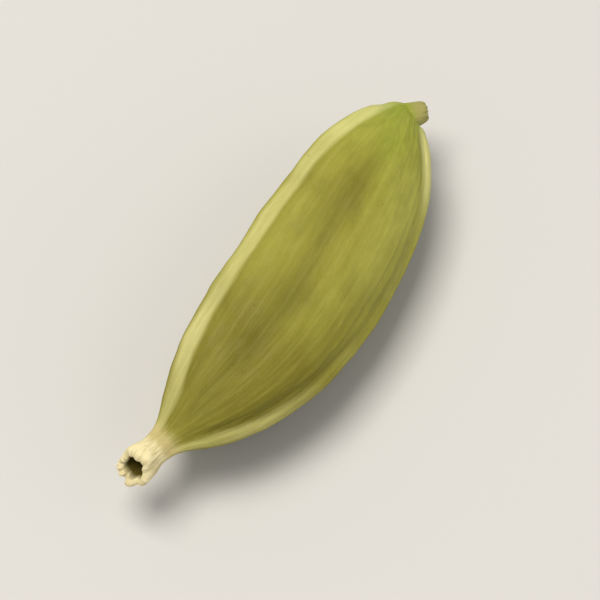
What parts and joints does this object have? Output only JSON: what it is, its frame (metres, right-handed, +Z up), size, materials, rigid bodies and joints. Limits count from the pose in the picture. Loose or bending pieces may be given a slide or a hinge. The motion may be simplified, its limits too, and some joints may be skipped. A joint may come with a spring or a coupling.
{
  "type": "green cardamom pod",
  "caption": "Whole dried green seed pod on its side, ribbed and triangular in section, with a stalk collar at its pointed end and a small beak at its blunt end.",
  "frame": {"origin": "bottom centre of the pod's box, on the plane of its small flat resting spot", "axes": "+X from the stalk end to the beak end, +Z up from the resting spot, -Y towards the side that the broad upper face leans to"},
  "size_m": [0.0226, 0.007, 0.0062],
  "materials": {
    "husk": "dry fibrous husk, matt satin"
  },
  "bodies": {
    "root": {"cardamom_pod": "husk"}
  },
  "joints": []
}
